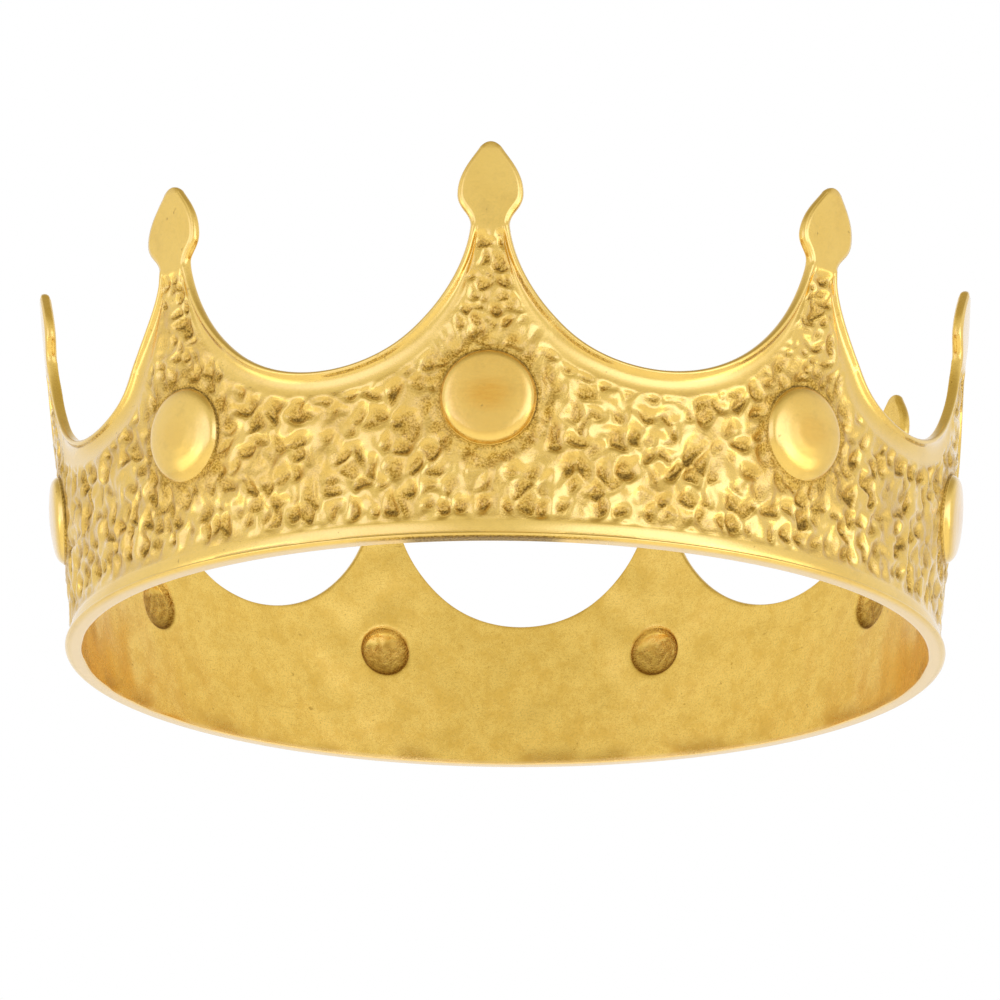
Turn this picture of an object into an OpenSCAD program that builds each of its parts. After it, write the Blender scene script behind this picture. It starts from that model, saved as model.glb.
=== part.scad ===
// Cast king's crown in gold-tone metal, made in one piece.
// A flared ring on a beaded foot rises into nine points with a leaf at each tip.
// The wall has a hammered field, a coved border along the scallops, a round boss
// on the middle line of every point, and a shallow dimple behind each boss.

/* [Ring] */
// Outer diameter of the foot
ring_d = 190; // [160:1:230]
// Outward lean of the wall, in degrees from upright
lean_deg = 7.4; // [0:0.1:14]
// Thickness of the wall at the ridges of the hammered field
wall_t = 2; // [1.7:0.05:4]
// Number of points
point_count = 9; // [8:1:11]

/* [Foot] */
// How far the foot stands out from the wall above it
foot_proud = 1.6; // [0.6:0.1:3]
// Height of the rounded bead at the bottom
bead_h = 2.4; // [1.5:0.1:4]
// Rounding under the outer edge of the bead
bead_round = 0.6; // [0.2:0.1:1.2]
// Height at which the smooth lower border ends and the hammered field starts
border_h = 6.6; // [5:0.1:10]

/* [Scallops] */
// Height of the lowest place of each scallop
notch_h = 35.2; // [30:0.1:45]
// Height of the neck under each leaf
neck_h = 61.6; // [56:0.1:68]
// Width of the neck under each leaf
neck_w = 7.7; // [5:0.1:11]
// Width of the raised lip along the scallops
lip_w = 1.5; // [0.8:0.1:3]
// How far the lip stands out from the field
lip_proud = 0.55; // [0.2:0.05:1.2]
// Width of the smooth cove below the lip
cove_w = 4.6; // [2:0.1:6]
// Depth of the cove below the ridges of the field
cove_dip = 0.35; // [0:0.05:0.8]

/* [Leaves] */
// Height of the tips, which is the height of the crown
crown_h = 79.5; // [74:0.1:95]
// Widest width of a leaf
leaf_w = 13; // [9:0.1:18]
// Thickness of a leaf
leaf_t = 2; // [1.4:0.05:4]
// How far a leaf stands out from the neck
leaf_proud = 0.5; // [0:0.05:1]
// Softened edge round the face of a leaf
leaf_soft = 0.6; // [0:0.05:1]
// Width across the rounded end of a tip
tip_w = 3.8; // [1.5:0.1:6]

/* [Hammered field] */
// Distance from one pit to the next
pit_pitch = 6; // [5.8:0.1:9]
// Depth of the pits below the ridges
pit_depth = 1; // [0.2:0.05:1.2]
// Seed of the irregular pits
pit_seed = 7; // [1:1:99]

/* [Bosses] */
// Diameter of a boss
boss_d = 18.6; // [12:0.1:22]
// Height of the middle of the bosses
boss_h = 27.6; // [24:0.1:30]
// How far a boss stands out from the field
boss_proud = 2.5; // [1.5:0.1:4]
// Rounding of the shoulder of a boss
boss_round = 1.4; // [0.5:0.1:1.4]
// Spread of the side of a boss at its foot
boss_draft = 0.2; // [0.1:0.05:0.6]
// Width of the smooth groove round a boss
boss_groove = 2; // [1:0.1:3]
// Diameter of the dimple behind a boss
dimple_d = 12.4; // [6:0.1:15]
// Depth of a dimple
dimple_depth = 1.7; // [0.5:0.1:2.2]

/* [Hidden] */
gold = [0.86, 0.69, 0.27];

// Lean, sector and radius of the ridges of the field
lean_share = tan(lean_deg);
half_deg = 180 / point_count;
field_r = ring_d / 2 - foot_proud;
function field_radius(z) = field_r + z * lean_share;
function arc_to_deg(x, z) = x / field_radius(z) * 180 / PI;
function deg_to_arc(a, z) = a / 180 * PI * field_radius(z);

// The scallop is a circle through its lowest place and the necks beside it
notch_half = deg_to_arc(half_deg, neck_h) - neck_w / 2;
notch_rise = neck_h - notch_h;
notch_r = (notch_half ^ 2 + notch_rise ^ 2) / (2 * notch_rise);
notch_z = notch_h + notch_r;
notch_turn = atan2(notch_half, notch_z - neck_h);
function edge_gap(a, z) = norm([deg_to_arc(half_deg - abs(a), z), notch_z - z]) - notch_r;

// Two grid cells make one pit, and the middle columns run on into the leaf
cell_w = pit_pitch / 2;
mid_shares = [-1, -0.7, 0, 0.7, 1];
mid = len(mid_shares) - 1;
side = round((deg_to_arc(2 * half_deg, boss_h) / cell_w - mid) / 2);
cols = 2 * side + mid;
all_cols = cols * point_count;
field_h = (notch_h + neck_h) / 2 - lip_w - cove_w - border_h;
field_rows = 2 * round(field_h / pit_pitch);

// A column climbs straight from the foot to its place on the upper edge
function column_foot(j) = half_deg * (2 * j / cols - 1);
function column_edge(j) =
    j > side + mid ? let (e = column_edge(cols - j)) [-e[0], e[1]]
    : j > side ? [arc_to_deg(mid_shares[j - side] * neck_w / 2, neck_h), neck_h]
    : let (turn = notch_turn * j / side, z = notch_z - notch_r * cos(turn))
      [arc_to_deg(notch_r * sin(turn), z) - half_deg, z];
function column_deg(j, z) =
    let (e = column_edge(j), f = column_foot(j)) f + (e[0] - f) * z / e[1];

// Height at which a column is a given gap from the upper edge, by halving
halvings = 24;
function height_at_gap(j, gap, low, high, n = halvings) =
    let (z = (low + high) / 2)
    n == 0 ? z
    : edge_gap(column_deg(j, z), z) > gap ? height_at_gap(j, gap, z, high, n - 1)
    : height_at_gap(j, gap, low, z, n - 1);

// Rows from the foot up: bead, neck, field, cove, lip, edge
bead_rise_shares = [0, 0.25, 0.75, 1];
bead_out_shares = [1, 1, 1, 0.6];
neck_rise_shares = [0.4, 1];
foot_rows = len(bead_rise_shares) + len(neck_rise_shares);
foot_heights = concat(bead_rise_shares * bead_h,
    [for (s = neck_rise_shares) bead_h + s * (border_h - bead_h)]);
foot_outs = concat([foot_proud - bead_round],
    [for (i = [1:len(bead_out_shares) - 1]) bead_out_shares[i] * foot_proud],
    [for (s = neck_rise_shares) 0]);
cove_gaps = [lip_w + cove_w, lip_w + cove_w / 2, lip_w];
rows = foot_rows + field_rows + len(cove_gaps) - 1;
function column_heights(j) =
    let (k = j > side && j < side + mid ? side : j, top = column_edge(j)[1],
         cove = [for (gap = cove_gaps) height_at_gap(k, gap, border_h, top)])
    concat(foot_heights,
        [for (i = [1:field_rows - 1]) border_h + (cove[0] - border_h) * i / field_rows],
        cove, [top]);

// Square rings of the grid round a boss are drawn in to circles, and the next ease back out
boss_r = boss_d / 2;
flat_r = boss_r - boss_round;
boss_reach = [0, flat_r, flat_r + boss_round * sin(45), boss_r, boss_r + boss_draft];
boss_outs = [boss_proud, boss_proud, boss_proud - boss_round * (1 - cos(45)),
    boss_proud - boss_round, -pit_depth / 2];
boss_rings = len(boss_reach) - 1;
ease_rings = 2;
function ring_turn(p, q, k) =
    p == k ? 45 * q / k : q == k ? 90 - 45 * p / k : p == -k ? 180 - 45 * q / k : 270 + 45 * p / k;
function ring_place(p, q, reach) =
    let (k = max(abs(p), abs(q)), turn = k == 0 ? 0 : ring_turn(p, q, k), z = boss_h + reach * sin(turn))
    [arc_to_deg(reach * cos(turn), z), z];
middle_heights = column_heights(cols / 2);
boss_row = let (gaps = [for (z = middle_heights) abs(z - boss_h)]) search(min(gaps), gaps)[0];
function wall_place(j, i, z) =
    let (p = j - cols / 2, q = i - boss_row, k = max(abs(p), abs(q)), grid = [column_deg(j, z), z],
         ease = min(max((k - boss_rings) / ease_rings, 0), 1),
         reach = boss_reach[min(k, boss_rings)] + boss_groove * max(k - boss_rings, 0))
    i < foot_rows || ease == 1 ? grid : grid * ease + ring_place(p, q, reach) * (1 - ease);

// Relief of the wall: how far a place stands out from the ridges of the field
function cove_out(gap) =
    let (t = min(max((gap - lip_w) / cove_w, 0), 1))
    gap < lip_w ? lip_proud * (1 - gap / lip_w / 2)
    : lip_proud / 2 * (1 - t) ^ 2 - cove_dip * sin(180 * t);
pit_noise = rands(0, 1, all_cols * rows, pit_seed);
shallow_share = 0.3;
swap_share = 0.14;
function pit_share(i, n) =
    let (chance = pit_noise[n * rows + i], pit = (i + n) % 2 == 1, swap = chance < swap_share)
    pit != swap ? 1 - shallow_share * chance : shallow_share * chance;
function flat_gain(a, z) = deg_to_arc(a, z) ^ 2 / field_radius(z) / 2;
function wall_out(i, j, n, a, z) =
    let (gap = edge_gap(a, z), k = max(abs(j - cols / 2), abs(i - boss_row)))
    i < foot_rows ? foot_outs[i]
    : k <= boss_rings ? boss_outs[k] + (k < boss_rings ? flat_gain(a, z) : 0)
    : k == boss_rings + 1 ? -pit_depth / 2
    : gap < lip_w + cove_w || i == rows - len(cove_gaps) ? cove_out(gap)
    : -pit_depth * pit_share(i, n);

// A leaf is outlined by two curves, from the neck to the shoulder and on to the tip
leaf_rows = 8;
shoulder_share = 0.42;
bend_share = 0.45;
flank_share = 0.42;
point_share = 0.3;
shoulder_h = neck_h + (crown_h - neck_h) * shoulder_share;
lower_curve = [[neck_w / 2, neck_h],
    [neck_w / 2, neck_h + bend_share * (shoulder_h - neck_h)],
    [leaf_w / 2, shoulder_h - bend_share * (shoulder_h - neck_h)],
    [leaf_w / 2, shoulder_h]];
upper_curve = [[leaf_w / 2, shoulder_h],
    [leaf_w / 2, shoulder_h + flank_share * (crown_h - shoulder_h)],
    [tip_w / 2 + point_share * (leaf_w - tip_w) / 2,
     crown_h - point_share * (crown_h - shoulder_h)],
    [tip_w / 2, crown_h - tip_w / 4]];
function curve(p, t) =
    p[0] * (1 - t) ^ 3 + 3 * p[1] * t * (1 - t) ^ 2 + 3 * p[2] * t ^ 2 * (1 - t) + p[3] * t ^ 3;
function leaf_side(i) =
    let (t = 2 * i / leaf_rows) t <= 1 ? curve(lower_curve, t) : curve(upper_curve, t - 1);
function leaf_point(i, m, out) =
    let (s = leaf_side(i), u = mid_shares[m],
         z = s[1] + (i == leaf_rows ? (1 - u ^ 2) * tip_w / 4 : 0))
    [arc_to_deg(u * s[0], z), z, out];
function leaf_out(m) = abs(mid_shares[m]) == 1 ? leaf_proud - leaf_soft : leaf_proud;

// The panel of the inner wall behind a boss, with the dimple's rim and floor as rings
floor_share = 0.8;
dimple_reach = [0, floor_share * dimple_d / 2, dimple_d / 2];
dimple_rings = len(dimple_reach) - 1;
panel = dimple_rings + 1;
function panel_place(p, q) =
    let (k = max(abs(p), abs(q)), z = boss_h + q * dimple_d / 2 / dimple_rings,
         place = k < panel ? ring_place(p, q, dimple_reach[k]) : [column_deg(cols / 2 + p, z), z],
         sunk = k < dimple_rings ? dimple_depth : 0)
    [place[0], place[1], sunk - wall_t];

// Places on the wall are [degrees from the middle line, height, distance out from the field]
function turned(k, p) =
    let (a = 2 * half_deg * k - 90 + p[0], r = field_radius(p[1]) + p[2])
    [r * cos(a), r * sin(a), p[1]];
sectors = [0:point_count - 1];
outer_wall = [for (k = sectors, j = [0:cols - 1]) let (heights = column_heights(j), n = k * cols + j)
    for (i = [0:rows]) let (place = wall_place(j, i, heights[i]), a = place[0], z = place[1])
        turned(k, [a, z, wall_out(i, j, n, a, z)])];
inner_rims = [for (k = sectors, j = [0:cols - 1]) let (edge = column_edge(j))
    each [turned(k, [column_foot(j), 0, -wall_t]), turned(k, [edge[0], edge[1], -wall_t])]];
inner_panels = [for (k = sectors, p = [-panel:panel], q = [-panel:panel]) turned(k, panel_place(p, q))];
outer_leaves = [for (k = sectors, i = [1:leaf_rows], m = [0:mid])
    turned(k, leaf_point(i, m, leaf_out(m)))];
inner_leaves = [for (k = sectors, i = [1:leaf_rows], m = [0:mid])
    turned(k, leaf_point(i, m, leaf_proud - leaf_t))];

// Where each place stands in one list of all the points
rim_start = len(outer_wall);
panel_start = rim_start + len(inner_rims);
outer_leaf_start = panel_start + len(inner_panels);
inner_leaf_start = outer_leaf_start + len(outer_leaves);
function outer_at(i, n) = (n % all_cols) * (rows + 1) + i;
function inner_foot_at(n) = rim_start + (n % all_cols) * 2;
function inner_edge_at(n) = inner_foot_at(n) + 1;
panel_side = 2 * panel + 1;
function panel_at(k, p, q) =
    let (n = k * cols + cols / 2 + p)
    q < -panel ? inner_foot_at(n) : q > panel ? inner_edge_at(n)
    : panel_start + (k * panel_side + p + panel) * panel_side + q + panel;
function leaf_at(start, k, i, m) = start + (k * leaf_rows + i - 1) * (mid + 1) + m;
function outer_leaf_at(k, i, m) =
    i == 0 ? outer_at(rows, k * cols + side + m) : leaf_at(outer_leaf_start, k, i, m);
function inner_leaf_at(k, i, m) =
    i == 0 ? inner_edge_at(k * cols + side + m) : leaf_at(inner_leaf_start, k, i, m);

// Faces run clockwise as seen from outside, and each cell is split along its ridge
function split(a, b, c, d, turn) = turn ? [[a, b, c], [a, c, d]] : [[b, c, d], [b, d, a]];
wall_faces = [for (n = [0:all_cols - 1]) each concat(
    [for (i = [0:rows - 1]) each split(outer_at(i, n), outer_at(i + 1, n),
        outer_at(i + 1, n + 1), outer_at(i, n + 1), (i + n) % 2 == 0)],
    split(outer_at(0, n), outer_at(0, n + 1), inner_foot_at(n + 1), inner_foot_at(n), true))];

// Inside, plain strips stand beside the panels, and a fan joins each panel to its neighbours
strip_side = cols / 2 - panel - 1;
plain_faces = [for (k = sectors, j = [-strip_side:strip_side - 1]) let (n = k * cols + cols + j)
    each split(inner_foot_at(n), inner_foot_at(n + 1), inner_edge_at(n + 1), inner_edge_at(n), true)];
panel_faces = [for (k = sectors, p = [-panel:panel - 1], q = [-panel - 1:panel])
    each split(panel_at(k, p, q), panel_at(k, p + 1, q), panel_at(k, p + 1, q + 1), panel_at(k, p, q + 1),
        (p < 0) == (q < 0))];
fan_faces = [for (k = sectors, q = [-panel - 1:panel]) each let (n = k * cols + cols / 2) [
    [inner_foot_at(n - panel - 1), panel_at(k, -panel, q), panel_at(k, -panel, q + 1)],
    [inner_foot_at(n + panel + 1), panel_at(k, panel, q + 1), panel_at(k, panel, q)]]];
fan_tops = [for (k = sectors) each let (n = k * cols + cols / 2) [
    [inner_foot_at(n - panel - 1), inner_edge_at(n - panel), inner_edge_at(n - panel - 1)],
    [inner_foot_at(n + panel + 1), inner_edge_at(n + panel + 1), inner_edge_at(n + panel)]]];
leaf_faces = [for (k = sectors, i = [0:leaf_rows - 1], m = [0:mid - 1]) each concat(
    split(outer_leaf_at(k, i, m), outer_leaf_at(k, i + 1, m),
        outer_leaf_at(k, i + 1, m + 1), outer_leaf_at(k, i, m + 1), m < mid / 2),
    split(inner_leaf_at(k, i, m), inner_leaf_at(k, i, m + 1),
        inner_leaf_at(k, i + 1, m + 1), inner_leaf_at(k, i + 1, m), m >= mid / 2))];

// The upper edge of one point, from notch to notch, as pairs of outer and inner places
function edge_pairs(k) = concat(
    [for (j = [0:side]) [outer_at(rows, k * cols + j), inner_edge_at(k * cols + j)]],
    [for (i = [1:leaf_rows]) [outer_leaf_at(k, i, 0), inner_leaf_at(k, i, 0)]],
    [for (m = [1:mid]) [outer_leaf_at(k, leaf_rows, m), inner_leaf_at(k, leaf_rows, m)]],
    [for (i = [1:leaf_rows]) let (d = leaf_rows - i)
        [outer_leaf_at(k, d, mid), inner_leaf_at(k, d, mid)]],
    [for (j = [side + mid + 1:cols]) [outer_at(rows, k * cols + j), inner_edge_at(k * cols + j)]]);
edge_faces = [for (k = sectors) let (pairs = edge_pairs(k))
    for (i = [0:len(pairs) - 2])
        each split(pairs[i][0], pairs[i][1], pairs[i + 1][1], pairs[i + 1][0], true)];

module crown() {
    color(gold)
        polyhedron(
            points = concat(outer_wall, inner_rims, inner_panels, outer_leaves, inner_leaves),
            faces = concat(wall_faces, plain_faces, panel_faces, fan_faces, fan_tops,
                leaf_faces, edge_faces),
            convexity = 10);
}

crown();
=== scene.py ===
import bpy
import numpy as np
from mathutils import Matrix, Vector


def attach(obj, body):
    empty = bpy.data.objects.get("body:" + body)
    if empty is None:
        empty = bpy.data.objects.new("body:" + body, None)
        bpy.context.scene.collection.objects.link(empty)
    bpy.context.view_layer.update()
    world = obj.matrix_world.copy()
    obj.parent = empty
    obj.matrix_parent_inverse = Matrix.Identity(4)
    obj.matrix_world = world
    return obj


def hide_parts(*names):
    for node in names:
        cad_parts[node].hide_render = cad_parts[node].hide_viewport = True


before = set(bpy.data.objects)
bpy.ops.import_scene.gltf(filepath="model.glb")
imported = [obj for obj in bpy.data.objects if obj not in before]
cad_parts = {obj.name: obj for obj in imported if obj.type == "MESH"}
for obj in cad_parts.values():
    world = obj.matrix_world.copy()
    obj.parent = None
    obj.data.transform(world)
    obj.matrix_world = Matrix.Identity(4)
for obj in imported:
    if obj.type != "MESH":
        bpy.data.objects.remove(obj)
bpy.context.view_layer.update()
print("frame loaded:", sorted(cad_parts))

mm = 0.001

crown = {  # the casting as drawn, in millimetres and degrees, and how finely its grids are cut
    "points": 9, "ringDiameter": 190.0, "meanRadius": 97.0, "lean": 7.4, "thickness": 2.0,
    "footProud": 1.6, "borderTop": 3.9, "notchHeight": 35.2, "splitHeight": 44.0,
    "neckHeight": 62.4, "neckWidth": 7.8, "tipHeight": 79.5,
    "sideColumns": 72, "toothColumns": 72, "fieldRows": 94, "toothRows": 48, "leafRows": 36,
    "closeRows": 5, "closeStep": 0.6,  # the last rows below a scallop stand closer
    "innerRows": 44, "innerFoot": 0.25,
    "edgeBulge": 0.35, "edgePower": 2.5, "edgeShares": (0.14, 0.42, 0.72, 0.92),  # the rounded upper edge
}

half = np.pi / crown["points"]  # half a sector, in radians
slope = np.tan(np.radians(crown["lean"]))
fieldFoot = crown["ringDiameter"] / 2 - crown["footProud"]
ringLength = 2 * np.pi * crown["meanRadius"]
sectorLength = ringLength / crown["points"]


def fieldRadius(z):  # radius of the ridges: the foot's radius plus the height times the slope of the wall
    return fieldFoot + z * slope


def smooth(low, high, x):  # smooth step: 3t squared minus 2t cubed, with t the place of x from low to high
    t = np.clip((x - low) / (high - low), 0, 1)
    return t * t * (3 - 2 * t)


def ringPlace(k, a):  # length along the ring from the front point: the whole angle times the mean radius
    return ((a + 2 * half * k) * crown["meanRadius"]) % ringLength


def wrapped(x):  # the same length along the ring, counted from minus half a ring to plus half a ring
    return (x + ringLength / 2) % ringLength - ringLength / 2


# the scallop is a circle through the notch's lowest place and the necks on both sides
notchHalf = half * fieldRadius(crown["neckHeight"]) - crown["neckWidth"] / 2
notchRise = crown["neckHeight"] - crown["notchHeight"]
notchRadius = (notchHalf ** 2 + notchRise ** 2) / (2 * notchRise)
notchCentre = crown["notchHeight"] + notchRadius
notchTurn = np.arctan2(notchHalf, notchCentre - crown["neckHeight"])
cornerTurn = np.arccos((notchCentre - crown["splitHeight"]) / notchRadius)
edgeRadius = notchRadius + crown["edgeBulge"]  # the faces stop short of the edge, which is rounded


def edgeGap(a, z):  # distance to the scallop: distance to the circle's centre less its radius
    return np.hypot((half - np.abs(a)) * fieldRadius(z), notchCentre - z) - notchRadius


ripples = {  # sets of waves that make the casting uneven: how many, their length in millimetres, their seed
    "pitAcross": (30, 6.0, 21), "pitUp": (30, 6.0, 22), "pitDepth": (24, 17.0, 31),
    "fineLumps": (40, 2.6, 41), "lumps": (40, 5.5, 42),
    "wall": (24, 14.0, 51), "dimple": (24, 7.0, 52), "fineDimple": (24, 3.0, 53), "patches": (30, 2.2, 54),
    "dust": (30, 4.0, 61), "crease": (30, 26.0, 62), "sand": (30, 16.0, 63),
    "line": (30, 30.0, 64), "footShade": (30, 18.0, 66),
    "spread": 0.3,  # the share by which the lengths in a set differ
}


def waves(name, x, z):
    # soft noise: the sum of plane waves with random headings, closed round the ring, with a spread of one
    count, length, seed = ripples[name]
    rng = np.random.default_rng(seed)
    heading = rng.uniform(0.0, np.pi, count)
    number = 2 * np.pi / (length * rng.uniform(1 - ripples["spread"], 1 + ripples["spread"], count))
    kx = np.round(number * np.cos(heading) * ringLength / (2 * np.pi)) * 2 * np.pi / ringLength
    kz = number * np.sin(heading)
    phase = rng.uniform(0, 2 * np.pi, count)
    total = np.zeros_like(x)
    for i in range(count):
        total += np.cos(kx[i] * x + kz[i] * z + phase[i])
    return total * np.sqrt(2.0 / count)


boss = {  # rings of the grid that become circles, and the flat and the domed profile that they carry
    "height": 27.6, "ring": [0, 5, 9, 12, 14, 16, 18, 20, 21, 22, 23, 24, 25], "ease": 37, "step": 0.27,
    "reach": [0.0, 3.0, 5.6, 7.0, 7.7, 8.2, 8.6, 8.92, 9.14, 9.32, 9.46, 9.62, 10.3],
    "out": [2.62, 2.61, 2.57, 2.5, 2.4, 2.2, 1.9, 1.5, 1.1, 0.66, 0.28, -0.15, 0.0],
    "dome": [2.62, 2.41, 1.86, 1.4, 1.11, 0.88, 0.67, 0.47, 0.33, 0.19, 0.06, -0.15, 0.0],
    "domed": [0.12, 0.65, 0.4, 0.3, 0.5, 0.3, 0.4, 0.5, 0.7],  # how far each boss is domed rather than flat
    "rubbedAndReflected": [1.0, 0.5, 0.7, 0.4, 0.8, 0.5, 0.9, 0.4, 0.15],  # how far the gilding of each is rubbed, and how dark the painted reflection in its middle
    "levelOut": (10.0, 8.8),  # where its face stops being level
}
pits = {  # millimetres: the places and sizes of the hammered pits, which get finer up the points
    "seed": 11, "pitch": 4.8, "rise": 3.9, "first": 6.6, "top": 60.0, "jitter": 0.36,
    "length": (2.6, 4.5), "width": (2.0, 2.8), "depth": (0.56, 1.14), "bow": 0.13, "soft": 2.0, "join": 4.0,
    "fine": 0.62, "fineIn": (30, 44), "wobble": 0.3, "margin": 8.0, "chunk": 4000,
    # how the lowest rows climb at the sides of the ring
    "sideRise": 1.4, "slantRise": 0.7, "riseShares": [1.0, 0.5, 0.0],
    # the lowest row: upright pits that stand closer
    "lowPitch": 0.84, "lowJitter": 0.25, "lowTurn": 0.2, "lowLength": 0.85,
    # the ring of small pits close round every boss
    "ringCount": 15, "ringReach": 11.9, "ringClear": 1.2, "ringJitter": 0.3, "ringStray": 0.5,
    "ringTurn": (0.6, 0.6), "ringLength": (1.9, 2.9), "ringWidth": (1.3, 1.8), "ringBow": 0.15,
    "ringDepth": (0.45, 0.85),
}


def pitRise(x):
    # the lowest pits stop higher at the sides: a sine squared of the angle round the ring, and a slant
    angle = x / crown["meanRadius"]
    return np.maximum(pits["sideRise"] * np.sin(angle) ** 2 - pits["slantRise"] * np.sin(2 * angle), 0)


def pitScale(z):  # size of the pits: one less a smooth step of the height
    return 1 - (1 - pits["fine"]) * smooth(*pits["fineIn"], z)


def fieldPits(rng):
    # rows of jittered places round the ring, each half a step on from the last, closer where pits are finer
    heights = [pits["first"]]
    while heights[-1] < pits["top"]:
        heights.append(heights[-1] + pits["rise"] * pitScale(heights[-1]))
    scale = pitScale(np.array(heights))
    pitch = pits["pitch"] * scale * np.where(np.arange(len(heights)) == 0, pits["lowPitch"], 1)
    counts = np.round(ringLength / pitch).astype(int)
    row = np.repeat(np.arange(len(heights)), counts)
    place = np.concatenate([(np.arange(c) + 0.5 * (i % 2)) / c for i, c in enumerate(counts)])
    n, lowest, scale = len(row), row == 0, scale[row]
    shift = rng.uniform(-pits["jitter"], pits["jitter"], (2, n))
    x = (place + shift[0] / counts[row]) * ringLength % ringLength
    z = np.take(heights, row) + pits["rise"] * scale * shift[1] * np.where(lowest, pits["lowJitter"], 1.0)
    z = z + np.interp(row, np.arange(len(pits["riseShares"])), pits["riseShares"]) * pitRise(x)
    heading = np.where(lowest, np.pi / 2 + rng.normal(0, pits["lowTurn"], n), rng.uniform(0, np.pi, n))
    length = rng.uniform(*pits["length"], n) * scale * np.where(lowest, pits["lowLength"], 1.0)
    width = rng.uniform(*pits["width"], n) * scale
    bow = rng.uniform(-pits["bow"], pits["bow"], n) / scale
    depth = rng.uniform(*pits["depth"], n) * scale ** 0.5
    return x, z, heading, length, width, bow, depth


def bossPits(rng):
    # equal steps of a turn round the middle of every boss, each strayed a little
    count, n = pits["ringCount"], pits["ringCount"] * crown["points"]
    turn = (np.arange(n) + rng.uniform(-pits["ringJitter"], pits["ringJitter"], n)) * 2 * np.pi / count
    reach = pits["ringReach"] + rng.uniform(-pits["ringStray"], pits["ringStray"], n)
    x = np.arange(n) // count * ringLength / crown["points"] + reach * np.cos(turn)
    heading = turn + rng.normal(*pits["ringTurn"], n)
    length, width = rng.uniform(*pits["ringLength"], n), rng.uniform(*pits["ringWidth"], n)
    bow, depth = rng.uniform(-pits["ringBow"], pits["ringBow"], n), rng.uniform(*pits["ringDepth"], n)
    return x % ringLength, boss["height"] + reach * np.sin(turn), heading, length, width, bow, depth


def pitSites():  # all pits of the field that keep clear of the bosses, and then the rings round the bosses
    rng = np.random.default_rng(pits["seed"])
    field, rings = fieldPits(rng), bossPits(rng)
    beside = (field[0] + sectorLength / 2) % sectorLength - sectorLength / 2
    far = np.hypot(beside, field[1] - boss["height"]) > pits["ringReach"] + pits["ringClear"]
    return [np.concatenate([v[far], w]) for v, w in zip(field, rings)]


def pitField(x, z):
    # each pit is a bent oval bowl, (1 - q) to a power, q the oval's squared distance, and they join softly
    sites = pitSites()
    wx = x + pits["wobble"] * waves("pitAcross", x, z)
    wz = z + pits["wobble"] * waves("pitUp", x, z)
    result = np.zeros_like(x)
    for k in range(crown["points"]):
        few = np.abs(wrapped(sites[0] - k * sectorLength)) < sectorLength / 2 + pits["margin"]
        sx, sz, heading, length, width, bow, depth = (v[few] for v in sites)
        c, s = np.cos(heading), np.sin(heading)
        for start in range(0, x.shape[1], pits["chunk"]):
            part = slice(start, start + pits["chunk"])
            dx = wrapped(wx[k, part, None] - sx)
            dz = wz[k, part, None] - sz
            u = dx * c + dz * s
            v = dz * c - dx * s - bow * (u * u - length ** 2 / 3)
            bowl = depth * np.clip(1 - (u / length) ** 2 - (v / width) ** 2, 0, 1) ** pits["soft"]
            result[k, part] = (bowl ** pits["join"]).sum(1) ** (1 / pits["join"])
    return result


lip = {  # millimetres: the bead along the scallops and the cove below it
    "width": 1.2, "proud": 0.36, "drop": 0.25, "dropOut": (0.8, 0), "coveDip": 0.5, "coveLean": 0.8,
    "coveHeights": [35.0, 46.0, 54.0, 60.0], "coveWidths": [4.3, 2.7, 1.0, 0.4],
}


def coveWidth(z):  # the cove narrows in straight steps towards the neck
    return np.interp(z, lip["coveHeights"], lip["coveWidths"])


def lipOut(gap, z):
    # a half-ellipse bead at the edge, then a hollow cove that is one arch of a sine deep
    bead = lip["proud"] * np.sqrt(np.clip(1 - ((gap - lip["width"] / 2) / (lip["width"] / 2)) ** 2, 0, 1))
    t = np.clip((gap - lip["width"]) / coveWidth(z), 0, 1)
    cove = lip["coveDip"] * np.sin(np.pi * t ** lip["coveLean"]) * (gap > lip["width"])
    return bead - lip["drop"] * smooth(*lip["dropOut"], gap) - cove


def bossOut(rho, arc, z, k):
    # a flat or a domed profile over the distance from the middle, level across the curve of the wall
    domed = np.take(boss["domed"], k)
    flat, dome = (np.interp(rho, boss["reach"], boss[name]) for name in ("out", "dome"))
    level = arc ** 2 / (2 * fieldRadius(z)) * smooth(*boss["levelOut"], rho)
    return flat * (1 - domed) + dome * domed + level


def ringWarp(a, z, part):
    # square rings of the grid become circles round the boss, and the rings beyond ease back to the grid
    columns, rows = z.shape
    middleRow = int(np.abs(z[columns // 2] - boss["height"]).argmin())
    p, q = np.meshgrid(np.arange(columns) - columns // 2, np.arange(rows) - middleRow, indexing="ij")
    k = np.maximum(np.abs(p), np.abs(q))
    safe = np.maximum(k, 1)
    turn = np.where(p == -k, 4 - q / safe, 6 + p / safe)
    turn = np.where(p == k, q / safe, np.where(q == k, 2 - p / safe, turn)) * np.pi / 4
    last = part["ring"][-1]
    reach = np.interp(k, part["ring"], part["reach"]) + part["step"] * np.maximum(k - last, 0)
    ease = smooth(last, part["ease"], k)
    newArc = reach * np.cos(turn) * (1 - ease) + a * fieldRadius(z) * ease
    newZ = (boss["height"] + reach * np.sin(turn)) * (1 - ease) + z * ease
    return newArc / fieldRadius(newZ), newZ


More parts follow.
